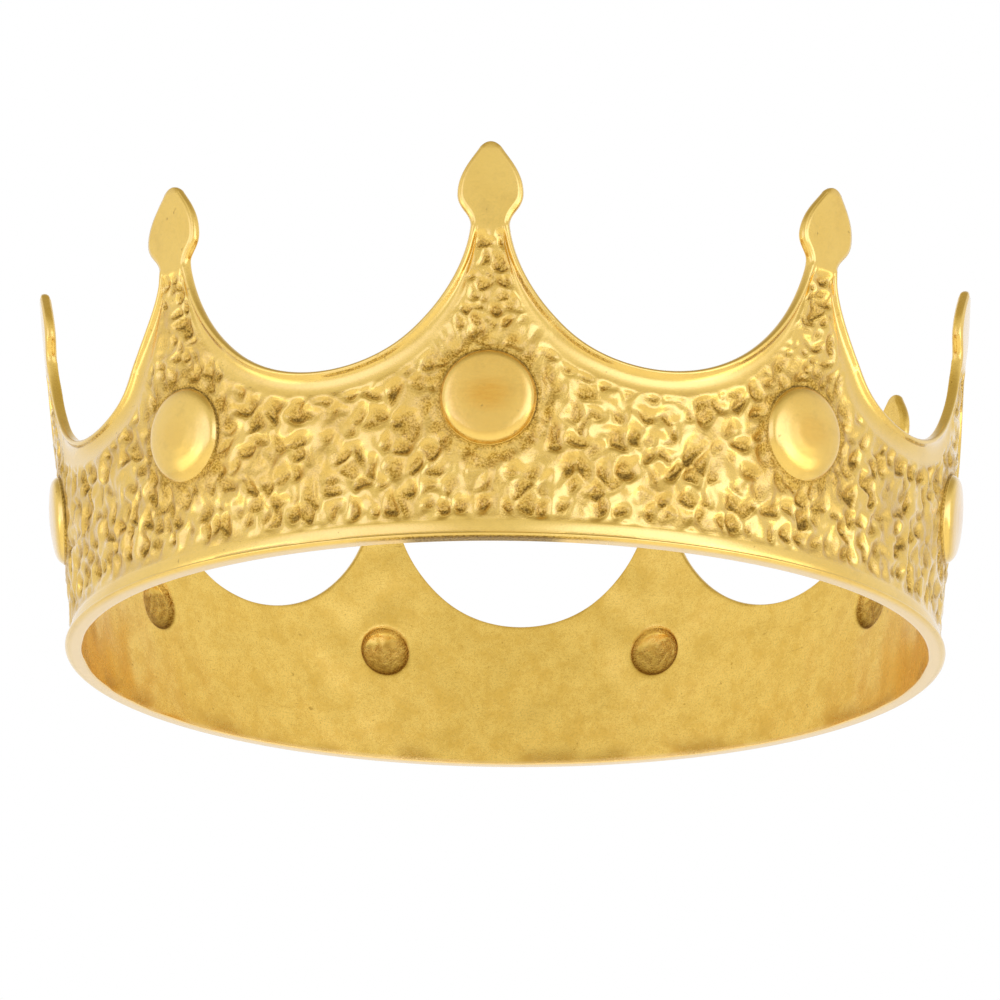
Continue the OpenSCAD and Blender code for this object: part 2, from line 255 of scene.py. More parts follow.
def wallGrid(sideColumns, toothColumns, heights, topSteps):
    # one sector of the wall: straight columns from the foot to the scallop or to the tooth's split line
    columns = 2 * sideColumns + toothColumns
    j = np.arange(columns + 1)
    footAngle = half * (2 * j / columns - 1)
    turn = cornerTurn * np.minimum(j, columns - j).clip(0, sideColumns) / sideColumns
    topZ = notchCentre - edgeRadius * np.cos(turn)
    side = half - edgeRadius * np.sin(turn) / fieldRadius(topZ)
    share = ((j - columns / 2) / (toothColumns / 2)).clip(-1, 1)
    topAngle = share * side
    low = np.array(heights)
    rising = low[-1] + (topZ[:, None] - low[-1]) * np.array(topSteps)[None, :]
    z = np.concatenate([np.repeat(low[None, :], columns + 1, 0), rising], 1)
    a = footAngle[:, None] + (topAngle - footAngle)[:, None] * z / topZ[:, None]
    return a, z


def toothGrid(toothColumns, rows):
    # the tooth above the split line: rows between the two scallops, each spread evenly
    turn = cornerTurn + (notchTurn - cornerTurn) * np.arange(1, rows + 1) / rows
    z = notchCentre - edgeRadius * np.cos(turn)
    width = half - edgeRadius * np.sin(turn) / fieldRadius(z)
    share = np.linspace(-1, 1, toothColumns + 1)
    return share[:, None] * width[None, :], np.repeat(z[None, :], toothColumns + 1, 0)


leaf = {  # millimetres, and shares of the rise and fall that shape its outline
    "width": 13.2, "thickness": 2.4, "proud": 0.5, "tipWidth": 4.4,
    "shoulder": 0.392, "bend": 0.45, "flank": 0.42, "point": 0.3,
    "soft": 0.34, "softWidth": 0.9, "softPower": 1.5, "softRun": 2.0,  # the softened edge
    "joinFrom": 3.2, "joinTo": 0.2, "backRun": 6.0,  # how far below the neck the leaf's faces begin
}


def bezier(p, t):  # cubic curve through its first and last point, drawn towards the two between
    t = t[:, None]
    return p[0] * (1 - t) ** 3 + 3 * p[1] * t * (1 - t) ** 2 + 3 * p[2] * t ** 2 * (1 - t) + p[3] * t ** 3


def leafGrid(toothColumns, rows):
    # the leaf: half widths from two curves, neck to shoulder and shoulder to tip, spread evenly across
    neckZ, tipZ = notchCentre - edgeRadius * np.cos(notchTurn), crown["tipHeight"] - crown["edgeBulge"]
    neckHalf = half * fieldRadius(neckZ) - edgeRadius * np.sin(notchTurn)
    wide, tip = leaf["width"] / 2 - crown["edgeBulge"], leaf["tipWidth"] / 2 - crown["edgeBulge"]
    shoulderZ = neckZ + (tipZ - neckZ) * leaf["shoulder"]
    rise, fall = shoulderZ - neckZ, tipZ - shoulderZ
    lower = np.array([[neckHalf, neckZ], [neckHalf, neckZ + leaf["bend"] * rise],
                      [wide, shoulderZ - leaf["bend"] * rise], [wide, shoulderZ]])
    upper = np.array([[wide, shoulderZ], [wide, shoulderZ + leaf["flank"] * fall],
                      [tip + leaf["point"] * (wide - tip), tipZ - leaf["point"] * fall],
                      [tip, tipZ - tip / 2]])
    t = np.arange(1, rows + 1) / rows * 2
    below, above = bezier(lower, np.minimum(t, 1)), bezier(upper, np.maximum(t - 1, 0))
    outline = np.where((t <= 1)[:, None], below, above)
    share = np.linspace(-1, 1, toothColumns + 1)
    crest = np.where(np.arange(rows) == rows - 1, tip / 2, 0)  # the last row is arched
    z = outline[None, :, 1] + crest[None, :] * (1 - share ** 2)[:, None]
    return share[:, None] * outline[None, :, 0] / fieldRadius(z), z


def leafGap(a, z):  # distance from each place on the leaf to the nearest place on its outline
    arc = a * fieldRadius(z)
    rim = np.concatenate([np.stack([arc[0], z[0]], 1), np.stack([arc[:, -1], z[:, -1]], 1),
                          np.stack([arc[-1], z[-1]], 1)])
    places = np.stack([arc.ravel(), z.ravel()], 1)
    return np.hypot(*(places[:, None, :] - rim[None, :, :]).transpose(2, 0, 1)).min(1).reshape(a.shape)


def neckGap(a, z):  # distance along the row to the scallop's circle
    circle = np.sqrt(np.maximum(notchRadius ** 2 - (notchCentre - z) ** 2, 0))
    return np.abs(np.abs(a) * fieldRadius(z) - (half * fieldRadius(z) - circle))


def softEdge(gap):  # how far the edge of a leaf's face is eased back: a power of one less a smooth step
    return leaf["soft"] * (1 - smooth(0, leaf["softWidth"], gap)) ** leaf["softPower"]


uneven = {  # how this casting strays from the drawing, in millimetres, for each point from the front one on
    "sway": [0.2, 3.0, 0.3, -0.5, 0.4, -0.3, 0.5, 0.0, -0.9],  # sideways bend at the tip
    "tipLean": [0.0, 0.3, 0.2, -0.3, 0.4, -0.2, 0.3, -0.2, 1.4],  # further bend of the leaf's upper half
    "flareLeft": [0.6, 0.0, 0.3, 0.4, 0.2, 0.5, 0.3, 0.2, 3.0],  # how much wider than its circle on one side
    "flareRight": [0.75, 2.0, 0.2, 0.3, 0.5, 0.3, 0.4, 0.3, 0.4],  # and on the other side
    "spread": [0.0, 0.08, 0.02, -0.02, 0.03, 0.0, -0.03, 0.02, 0.07],  # share by which the leaf is wider
    "raise": [0.0, 1.2, 0.3, 0.2, 0.5, 0.1, 0.4, 1.4, 0.0],  # how much higher the scallop after it is
    "bend": [0.0, 0.0, -1.2, -0.3, -0.7, -0.35, -0.5, 0.0, -0.4],  # outward bend at the tip
    "drop": [0.4, 0.0, 0.0, 0.2, 0.3, 0.1, 0.2, 0.0, 0.0],  # how much shorter it is
    "twist": [0.0, 2.0, 0.0, 3.0, -2.0, 1.0, -3.0, 0.0, 1.0],  # degrees that the leaf is turned
    # heights between which each comes in, and goes out again
    "bendFrom": 34, "twistIn": (52, 68), "leanIn": (67, 80), "spreadIn": (62, 67),
    "flareIn": (36, 45), "flareOut": (64, 46), "raiseIn": (14, 36), "raiseOut": (62, 46),
    "raiseShare": (0.1, 0.95), "bayMost": 0.95,
}


def toWorld(k, a, z, out):
    # sector, angle, height and stand-out become metres: radius times cosine and sine of the whole angle
    def own(name):  # the value of the point that each place is on
        return np.take(uneven[name], k)

    radius, lift = fieldRadius(z), smooth(uneven["bendFrom"], crown["tipHeight"], z)
    turn = np.radians(own("twist")) * smooth(*uneven["twistIn"], z)
    r = radius + out + own("bend") * lift - np.tan(turn) * a * radius
    bay = np.sqrt(np.maximum(notchRadius ** 2 - np.maximum(notchCentre - z, 0) ** 2, 0)) / radius
    opened = np.where(z > crown["notchHeight"], np.minimum(bay, uneven["bayMost"] * half), 0)
    share = np.clip(a / (half - opened), -1, 1)
    flare = np.where(a < 0, own("flareLeft"), own("flareRight"))
    side = flare * share * smooth(*uneven["flareIn"], z) * smooth(*uneven["flareOut"], z)
    side = side + own("sway") * lift + own("tipLean") * smooth(*uneven["leanIn"], z)
    wider = 1 + own("spread") * smooth(*uneven["spreadIn"], z)
    angle = a * wider + side / radius + 2 * half * k - np.pi / 2
    high = np.where(a < 0, np.take(uneven["raise"], (k - 1) % crown["points"]), own("raise"))
    high = high * smooth(*uneven["raiseShare"], np.abs(share))
    high = high * smooth(*uneven["raiseIn"], z) * smooth(*uneven["raiseOut"], z)
    return np.stack([r * np.cos(angle), r * np.sin(angle), z + high - own("drop") * lift], -1) * mm


foot = {  # height and stand-out of the rolled bead, its dark crease and the plain border
    "height": [0.0, 0.06, 0.18, 0.36, 0.56, 0.76, 0.9, 1.0, 1.06, 1.12, 1.3, 1.7, 2.2, 2.8, 3.3, 3.6, 3.9],
    "out": [0.7, 1.1, 1.36, 1.54, 1.6, 1.55, 1.38, 1.05, 0.6, 0.16, 0.2, 0.28, 0.33, 0.33, 0.28, 0.21, 0.1],
    "under": [(0.1, 0.0), (-0.6, 0.0), (-1.4, 0.0), (-1.74, 0.03), (-1.91, 0.12)],  # stand-out and height
    # the painted dark reflection under the front of the foot: its place along the ring, reach and fade
    "darkReflection": -1.0, "darkReflectionReach": 22.0, "darkReflectionOut": (1.5, 0.5),
}
relief = {  # millimetres: each pair says where a change of the outer face begins and where it ends
    "fieldIn": (-0.6, 0.8), "fieldFoot": (-0.4, 0.9), "pitsIn": (-0.9, 0.5), "lumpsIn": (-0.9, 1.5),
    "coveOut": (1.4, 0.0), "bossOut": (-1.0, 0.0), "depthSway": 0.15, "lumps": 0.15, "fineLumps": 0.03,
    "borderStep": 0.1, "borderEnd": 5.0,
}
marks = {  # where dirt, wear, painted shade and painted reflection come in and go out, in millimetres, and their least and further strength
    "pitIn": (0.1, 0.75), "pitFiner": 0.25, "finerIn": (38, 50),
    "dust": (0.42, 0.33), "dustWaves": (-0.6, 1.0), "dustIn": (9.3, 10.0), "dustOut": (7.0, 0.5),
    # painted shade in a ring round the foot of each boss, strongest above it
    "bossShade": (0.7, 0.3), "bossShadeIn": (9.3, 9.5), "bossShadeOut": (10.6, 9.8),
    "bossShadeUp": (-9.0, 4.0), "bossShadeSlant": 0.5,
    "sand": (0.14, 0.2), "sandWaves": (-0.4, 0.9), "sandIn": (-2.0, 0.6), "sandFoot": (3.2, 4.2),
    # the line keys here and below give painted shade in the crease of the foot's bead, fainter along part of
    # the ring
    "sandBoss": (9.2, 9.6), "line": 1.1, "lineIn": (0.28, 0.1), "lineWaves": (-0.8, 0.3),
    # the last key here gives where the painted dark reflection comes in at the bottom of the wall
    "lineFaint": 0.8, "faintIn": (40, 75), "faintOut": (200, 160), "darkReflectionIn": (0.3, 0.16),
    # the crease keys give painted shade between the lip's bead and its cove
    "crease": 0.7, "creaseAt": 0.1, "creaseIn": (0.4, 0.1), "creaseWaves": (-0.1, 1.0),
    # the rubbed gilding of each boss's face, and a darker middle that is a painted reflection
    "rubAndReflect": (0.35, 0.65), "rubWide": (8.6, 7.4), "reflectionMiddle": (6.5, 1.5), "reflectionFlat": 1.45,
    # painted shade on the upward sides of the pits
    "ledge": (0.55, 0.45), "ledgeIn": (-0.15, 0.4), "ledgeRun": 0.05,
    # the first three keys give painted shade along the foot of the inner wall
    "footShade": 0.4, "footShadeOut": (6.0, 0.6), "footShadeWaves": (-0.6, 1.0), "rimOut": (0.8, 0.2),
}


def strength(pair, share):  # a mark's least strength plus its further strength times a share
    return pair[0] + pair[1] * share


def darkReflection(x):  # the painted dark reflection under the front of the foot: a smooth step of the distance along the ring
    return smooth(*foot["darkReflectionOut"], np.abs(wrapped(x - foot["darkReflection"])) / foot["darkReflectionReach"])


def ledge(out, z):  # the grain in the pits, darker as painted shade where a pit's side faces up: the fall of the stand-out with height
    lean = np.gradient(out, axis=2) / np.maximum(np.gradient(z, axis=1), marks["ledgeRun"])[None]
    return strength(marks["ledge"], smooth(*marks["ledgeIn"], -lean))


def outerFace(k, a, z):
    # the stand-out is the lip and cove, less the pits, plus low lumps; foot and bosses then take its place
    # also given: the dark of the pits; the dust and sand over them with painted shade round each boss and in
    # the creases, and a painted dark reflection under the front of the foot; and the rubbed face of each
    # boss with a painted reflection in its middle
    x, arc, gap = ringPlace(k, a), a * fieldRadius(z), edgeGap(a, z)
    rho = np.hypot(arc, z - boss["height"])
    room = gap - lip["width"] - coveWidth(z)  # how far inside the cove
    beside = rho - boss["reach"][-1]  # how far outside the boss
    border = crown["borderTop"]
    fieldFrom, fieldTo = relief["fieldFoot"]
    inside = smooth(*relief["fieldIn"], room) * smooth(border + fieldFrom, border + fieldTo, z)
    depth = pitField(x, z) * smooth(*relief["pitsIn"], beside)
    depth = depth * (1 + relief["depthSway"] * waves("pitDepth", x, z)) * inside
    lumps = relief["lumps"] * waves("lumps", x, z) + relief["fineLumps"] * waves("fineLumps", x, z)
    out = lipOut(gap, z) * smooth(*relief["coveOut"], room) - depth
    out = out + lumps * inside * smooth(*relief["lumpsIn"], beside)
    out = out + relief["borderStep"] * smooth(relief["borderEnd"], border, z)
    out = np.where(z < border, np.interp(z, foot["height"], foot["out"]), out)
    raised, share = bossOut(rho, arc, z, k), smooth(*relief["bossOut"], beside)
    out = np.where(beside < 0, raised * (1 - share) + (raised + out) * share, out)

    pitLow, pitHigh = marks["pitIn"]
    pit = smooth(pitLow, pitHigh - marks["pitFiner"] * smooth(*marks["finerIn"], z), depth) * inside
    dust = strength(marks["dust"], smooth(*marks["dustWaves"], waves("dust", x, z)))
    dust = smooth(*marks["dustIn"], rho) * smooth(*marks["dustOut"], beside) * dust * inside
    # painted shade in a ring round the foot of each boss, strongest above it
    upper = smooth(*marks["bossShadeUp"], z - boss["height"] + marks["bossShadeSlant"] * arc)
    bossShade = smooth(*marks["bossShadeIn"], rho) * smooth(*marks["bossShadeOut"], rho)
    bossShade = bossShade * strength(marks["bossShade"], upper)
    sand = strength(marks["sand"], smooth(*marks["sandWaves"], waves("sand", x, z)))
    sand = sand * smooth(*marks["sandIn"], room) * smooth(*marks["sandFoot"], z)
    sand = sand * smooth(*marks["sandBoss"], rho)
    # painted shade along the crease of the foot's bead, fainter along part of the ring
    line = smooth(*marks["lineIn"], np.abs(z - marks["line"]))
    line = line * smooth(*marks["lineWaves"], waves("line", x, 0 * z))
    line = line * (1 - marks["lineFaint"] * smooth(*marks["faintIn"], x) * smooth(*marks["faintOut"], x))
    # a painted dark reflection on the bottom of the wall at the front
    frontReflection = smooth(*marks["darkReflectionIn"], z) * darkReflection(x)
    # painted shade in the crease between the lip's bead and its cove
    crease = smooth(*marks["creaseIn"], np.abs(gap - lip["width"] - marks["creaseAt"]))
    crease = marks["crease"] * crease * smooth(*marks["creaseWaves"], waves("crease", x, z))
    # dust and sand, with the painted shade and dark reflection, as one mark
    dirtAndShade = np.maximum.reduce([dust, sand, bossShade, crease, line, frontReflection])
    # the rubbed gilding of each boss, and a darker middle that is a painted reflection
    middle = np.hypot(arc, marks["reflectionFlat"] * (z - boss["height"]))
    wideRub, middleReflection = marks["rubAndReflect"]
    rubbedAndReflected = wideRub * smooth(*marks["rubWide"], rho) + middleReflection * smooth(*marks["reflectionMiddle"], middle)
    return out, pit, dirtAndShade, rubbedAndReflected * np.take(boss["rubbedAndReflected"], k)


dimple = {  # the hollow behind each boss, in millimetres: its rings of the grid, profile and finish, with its painted shade
    "ring": [0, 2, 4, 5, 6, 7, 8, 9, 10], "reach": [0.0, 2.0, 3.8, 4.7, 5.3, 5.7, 5.95, 6.2, 6.6],
    "depth": [2.0, 1.92, 1.64, 1.36, 1.08, 0.8, 0.5, 0.14, 0.0], "ease": 17, "step": 0.7,
    "wallUneven": 0.06, "uneven": 0.06, "fineUneven": 0.03,
    # painted shade in the hollow and round its rim, kept off the top as painted light
    "floor": 0.72, "floorIn": (0.3, 1.2), "edge": (0.7, 0.3), "edgeIn": (4.7, 5.5), "edgeOut": (6.4, 5.9),
    "patch": (0.5, 0.5), "patchWaves": (-0.7, 0.7), "shine": (3.6, 1.4), "shineSlant": 0.3,
}


def innerFace(k, a, z):
    # the inner wall: the field less the thickness, a little uneven, with each dimple's profile and its
    # painted shade
    x, arc = ringPlace(k, a), a * fieldRadius(z)
    rho = np.hypot(arc, z - boss["height"])
    sunk = np.interp(rho, dimple["reach"], dimple["depth"])
    rough = dimple["uneven"] * waves("dimple", x, z) + dimple["fineUneven"] * waves("fineDimple", x, z)
    rough = dimple["wallUneven"] * waves("wall", x, z) + sunk * rough
    edge = smooth(*dimple["edgeIn"], rho) * smooth(*dimple["edgeOut"], rho)
    patchy = strength(dimple["patch"], smooth(*dimple["patchWaves"], waves("patches", x, z)))
    lower = smooth(*dimple["shine"], z - boss["height"] + dimple["shineSlant"] * arc)  # the top is kept bright: painted light
    # painted shade deep in each dimple and round its rim, lighter towards the top
    innerShade = np.maximum(dimple["floor"] * smooth(*dimple["floorIn"], sunk) * patchy * lower,
                      edge * strength(dimple["edge"], lower))
    return -crown["thickness"] + rough + sunk, innerShade


class Shell:  # gathers the vertices, the finish and the faces of the whole casting
    def __init__(self):
        self.places, self.finish, self.quads, self.tris, self.count = [], [], [], [], 0

    def add(self, k, a, z, out, pit=0, rubbedAndReflected=0, inner=0, rim=0):  # a block of vertices, and their numbers
        k, a, z, out = np.broadcast_arrays(k, a, z, out)
        self.places.append(toWorld(k.ravel(), a.ravel(), z.ravel(), out.ravel()))
        shares = [np.broadcast_to(v, k.shape).ravel() for v in (pit, rubbedAndReflected, inner, rim)]
        self.finish.append(np.stack(shares, 1))
        self.count += k.size
        return self.count - k.size + np.arange(k.size).reshape(k.shape)

    def grid(self, ids, flip=False):  # quads between neighbouring columns and rows of vertex numbers
        q = np.stack([ids[:-1, :-1], ids[1:, :-1], ids[1:, 1:], ids[:-1, 1:]], -1).reshape(-1, 4)
        self.quads.append(q[:, ::-1] if flip else q)

    def ribbon(self, first, second, flip=False):  # quads between two closed loops of the same count
        q = np.stack([first, np.roll(first, -1), np.roll(second, -1), second], 1)
        self.quads.append(q[:, ::-1] if flip else q)

    def halving(self, full, few, flip=False):
        # three triangles join each two steps of one loop to one step of the other
        e, m, f = full[0::2], full[1::2], np.roll(full[0::2], -1)
        g = np.roll(few, -1)
        t = np.concatenate([np.stack([e, m, few], 1), np.stack([m, g, few], 1), np.stack([m, f, g], 1)])
        self.tris.append(t[:, ::-1] if flip else t)

    def face(self, wall, tooth, tip, side, flip=False):
        # the three grids of one face, and the loop of its upper edge
        ring = wall.reshape(-1, wall.shape[2])
        self.grid(np.concatenate([ring, ring[:1]]), flip)
        for k in range(crown["points"]):
            base = wall[k, side:side + tooth.shape[1], -1]
            self.grid(np.concatenate([base[:, None], tooth[k]], 1), flip)
            self.grid(np.concatenate([tooth[k][:, -1:], tip[k]], 1), flip)
        return np.concatenate([upperEdge(wall[k], tooth[k], tip[k], side) for k in range(crown["points"])])


def upperEdge(wall, tooth, tip, side):
    # along one sector's upper edge, in order: scallop, tooth, round the leaf, and down the other side
    return np.concatenate([wall[:side + 1, -1], tooth[0], tip[0], tip[1:, -1], tip[-1, -2::-1],
                           tooth[-1, ::-1], wall[-side:, -1]])


def buildCrown():
    # grids for the outer and the inner face, joined by loops along the upper edge and under the foot
    n, side, tooth = crown["points"], crown["sideColumns"], crown["toothColumns"]
    sectors = np.arange(n)
    k2, k3 = sectors[:, None], sectors[:, None, None]
    neck = crown["neckHeight"]
    shell = Shell()

    # the outer face: one sector of places for wall, tooth and leaf, then the relief of all nine
    steps = np.ones(crown["fieldRows"])
    steps[-crown["closeRows"]:] = crown["closeStep"]
    steps = np.cumsum(steps)
    a, z = ringWarp(*wallGrid(side, tooth, foot["height"], steps / steps[-1]), boss)
    a, z = a[:-1], z[:-1]  # the last column is the next sector's first
    ta, tz = toothGrid(tooth, crown["toothRows"])
    la, lz = leafGrid(tooth, crown["leafRows"])
    allA, allZ = (np.repeat(np.concatenate([below.ravel(), above.ravel()])[None], n, 0)
                  for below, above in ((a, ta), (z, tz)))

    def split(values):  # the wall's part and the tooth's
        return values[:, :a.size].reshape(n, *a.shape), values[:, a.size:].reshape(n, *ta.shape)

    out, pit, dirtAndShade, rubbedAndReflected = (split(values) for values in outerFace(k2, allA, allZ))
    print("relief worked out on", allA.size, "places")
    toLeaf = smooth(neck - leaf["joinFrom"], neck - leaf["joinTo"], tz)
    wallOut = out[0]
    toothOut = out[1] * (1 - toLeaf) + (leaf["proud"] - softEdge(neckGap(ta, tz))) * toLeaf
    leafOut = leaf["proud"] - softEdge(leafGap(la, lz))
    # the pits' grain with painted shade on their upward sides, and the dust, sand, painted shade and dark
    # reflection
    wallPitAndShade = np.maximum(pit[0] * ledge(wallOut, z), dirtAndShade[0])
    toothPitAndShade = np.maximum(pit[1] * ledge(toothOut, tz), dirtAndShade[1]) * (1 - toLeaf)
    wallId = shell.add(k3, a, z, wallOut, wallPitAndShade, rubbedAndReflected[0])
    toothId = shell.add(k3, ta, tz, toothOut, toothPitAndShade, rubbedAndReflected[1])
    leafId = shell.add(k3, la, lz, leafOut)

    # the inner face: the same three at half the count
    innerSteps = np.arange(1, crown["innerRows"] + 1) / crown["innerRows"]
    ia, iz = ringWarp(*wallGrid(side // 2, tooth // 2, [crown["innerFoot"]], innerSteps), dimple)
    ia, iz = (np.repeat(v[None, :-1], n, 0) for v in (ia, iz))
    ita, itz = (np.repeat(v[None, ::2, 1::2], n, 0) for v in (ta, tz))
    ila, ilz = la[::2, 1::2], lz[::2, 1::2]
    innerOut, innerShade = innerFace(k3, ia, iz)
    backTooth, backLeaf = innerFace(k3, ita, itz)[0], leaf["proud"] - leaf["thickness"]
    toBack = smooth(neck - leaf["backRun"], neck, itz)
    backTooth = backTooth * (1 - toBack) + backLeaf * toBack
    # painted shade along the foot of the inner wall
    footShade = smooth(*marks["footShadeWaves"], waves("footShade", ringPlace(k3, ia), iz))
    innerShade = np.maximum(innerShade, marks["footShade"] * (smooth(*marks["footShadeOut"], iz) * footShade))
    innerId = shell.add(k3, ia, iz, innerOut, innerShade, inner=1, rim=smooth(*marks["rimOut"], iz))
    innerToothId = shell.add(k3, ita, itz, backTooth, inner=1)
    innerLeafId = shell.add(k3, ila, ilz, backLeaf + softEdge(leafGap(ila, ilz)), inner=1)
    outerLoop = shell.face(wallId, toothId, leafId, side)
    innerLoop = shell.face(innerId, innerToothId, innerLeafId, side // 2, True)

    # the rounded upper edge: loops between the outer and the inner edge, bulged away from the wall
    lineA, lineZ = upperEdge(a, ta, la, side), upperEdge(z, tz, lz, side)
    lineArc = lineA * fieldRadius(lineZ)
    tangent = np.stack([np.gradient(lineArc), np.gradient(lineZ)], 1)
    tangent[0] = [1, 0]  # level at the notch's lowest place
    tangent /= np.linalg.norm(tangent, axis=1)[:, None]
    frontOut = np.stack([upperEdge(wallOut[k], toothOut[k], leafOut, side) for k in range(n)])
    toBack = smooth(neck - leaf["backRun"], neck, lineZ)
    backOut = -crown["thickness"] + (backLeaf + crown["thickness"]) * toBack
    backOut = backOut + leaf["soft"] * smooth(neck, neck + leaf["softRun"], lineZ)
    previous, edgeLoops = outerLoop, []
    for share in crown["edgeShares"]:
        bulge = crown["edgeBulge"] * (1 - np.abs(2 * share - 1) ** crown["edgePower"])
        edgeZ = lineZ + tangent[:, 0] * bulge
        edgeA = (lineArc - tangent[:, 1] * bulge) / fieldRadius(edgeZ)
        edgeLoops.append(shell.add(k2, edgeA, edgeZ, frontOut * (1 - share) + backOut * share, inner=share))
        shell.ribbon(previous, edgeLoops[-1].ravel())
        previous = edgeLoops[-1].ravel()
    shell.halving(previous, innerLoop)

    # the flat underside of the foot and its softened inner edge
    previous, footLoops = wallId[:, :, 0].ravel(), []
    # a painted dark reflection on the underside at the front
    underReflection = darkReflection(ringPlace(k2, a[:, 0]))
    for footOut, footZ in foot["under"]:
        footLoops.append(shell.add(k2, a[:, 0], footZ, footOut, underReflection, rim=1))
        shell.ribbon(previous, footLoops[-1].ravel(), True)
        previous = footLoops[-1].ravel()
    shell.halving(previous, innerId[:, :, 0].ravel(), True)

    # the wall is cut at the lowest place of each scallop, and each cut is closed by its own cross-section
    cuts = [np.concatenate([wallId[k, 0, ::-1], [loop[k, 0] for loop in footLoops], innerId[k, 0],
                            [loop[k, 0] for loop in edgeLoops[::-1]]]) for k in range(n)]
    return cutPieces(shell, cuts)


def vertexNormals(verts, quads, tris):
    # one normal for every vertex, the sum of its faces' normals, so that the nine pieces meet without a seam
    normals = np.zeros_like(verts)
    for corners in (quads[:, [0, 1, 2]], quads[:, [0, 2, 3]], tris):
        p, q, r = (verts[corners[:, i]] for i in range(3))
        face = np.cross(q - p, r - p)
        for axis in range(3):
            for corner in range(3):
                normals[:, axis] += np.bincount(corners[:, corner], face[:, axis], len(verts))
    return normals / (np.linalg.norm(normals, axis=1)[:, None] + 1e-12)  # never divided by zero


def sectorOf(places):  # the sector of a place, counted from the front point: its angle over a sector's
    turn = np.arctan2(places[:, 1], places[:, 0]) + np.pi / 2
    return np.round(turn / (2 * half)).astype(int) % crown["points"]


def cutPieces(shell, cuts):
    # each piece has the faces of its own sector and the two cross-sections that close it
    verts, finish = np.concatenate(shell.places), np.concatenate(shell.finish)
    quads, tris = np.concatenate(shell.quads), np.concatenate(shell.tris)
    print("crown mesh:", len(verts), "vertices,", 2 * len(quads) + len(tris), "triangles")
    normals = vertexNormals(verts, quads, tris)
    quadSector, triSector = sectorOf(verts[quads].mean(1)), sectorOf(verts[tris].mean(1))
    pieces = []
    for k in range(crown["points"]):
        own = [quads[quadSector == k], tris[triSector == k]]
        caps = [cuts[k][::-1], cuts[(k + 1) % crown["points"]]]
        used, index = np.unique(np.concatenate([f.ravel() for f in own] + caps), return_inverse=True)
        counts = np.concatenate([np.full(len(own[0]), 4), np.full(len(own[1]), 3), [len(c) for c in caps]])
        starts = np.concatenate([[0], np.cumsum(counts)[:-1]])
        mesh = bpy.data.meshes.new("crownPoint%d" % (k + 1))
        mesh.vertices.add(len(used))
        mesh.vertices.foreach_set("co", verts[used].astype(np.float32).ravel())
        mesh.loops.add(len(index))
        mesh.loops.foreach_set("vertex_index", index.astype(np.int32))
        mesh.polygons.add(len(counts))
        mesh.polygons.foreach_set("loop_start", starts.astype(np.int32))
        mesh.update(calc_edges=True)
        mesh.validate()
        mesh.polygons.foreach_set("use_smooth", np.ones(len(counts), bool))
        mesh.normals_split_custom_set_from_vertices(normals[used].tolist())
        layer = mesh.attributes.new("finish", "FLOAT_COLOR", "POINT")  # pit with painted shade, rubbed with painted reflection, inner, rim
        layer.data.foreach_set("color", finish[used].astype(np.float32).ravel())
        piece = bpy.data.objects.new(mesh.name, mesh)
        bpy.context.scene.collection.objects.link(piece)
        pieces.append(piece)
    return pieces


class Nodes:  # short calls to add and join shader nodes
    def __init__(self, tree):
        self.tree = tree

    def add(self, kind, **values):  # a value goes to the node's property of that name, or else to its socket
        node = self.tree.nodes.new(kind)
        for key, value in values.items():
            if hasattr(node, key):
                setattr(node, key, value)
            else:
                node.inputs[key.replace("_", " ")].default_value = value
        return node

    def link(self, source, target):  # one socket's value goes to another
        self.tree.links.new(source, target)

    def noise(self, place, scale, detail, rough, distortion=0.0):  # a noise of the place, from nought to one
        node = self.add("ShaderNodeTexNoise", Scale=scale, Detail=detail, Roughness=rough,
                        Distortion=distortion)
        self.link(place, node.inputs["Vector"])
        return node.outputs["Fac"]

    def ramp(self, source, low, high, lowValue=0.0, highValue=1.0):
        # a smooth step of the source from low to high, which goes from one value to another
        node = self.add("ShaderNodeMapRange", interpolation_type="SMOOTHSTEP")
        names = ("From Min", "From Max", "To Min", "To Max")
        for name, value in zip(names, (low, high, lowValue, highValue)):
            node.inputs[name].default_value = value
        self.link(source, node.inputs["Value"])
        return node.outputs["Result"]

    def multiply(self, first, second):  # the product of two sockets, or of a socket and a number
        node = self.add("ShaderNodeMath", operation="MULTIPLY")
        for socket, value in zip(node.inputs, (first, second)):
            if isinstance(value, float):
                socket.default_value = value
            else:
                self.link(value, socket)
        return node.outputs["Value"]

    def toward(self, place, heading):  # how far a direction points along another: their dot product
        node = self.add("ShaderNodeVectorMath", operation="DOT_PRODUCT")
        self.link(place, node.inputs[0])
        node.inputs[1].default_value = heading
        return node.outputs["Value"]

    def mix(self, share, first, second):  # two colours, weighed by the share of the second
        node = self.add("ShaderNodeMix", data_type="RGBA")
        self.link(share, node.inputs["Factor"])
        for i, value in ((6, first), (7, second)):  # the colour sockets A and B
            if isinstance(value, tuple):
                node.inputs[i].default_value = value + (1.0,)
            else:
                self.link(value, node.inputs[i])
        return node.outputs[2]  # the colour


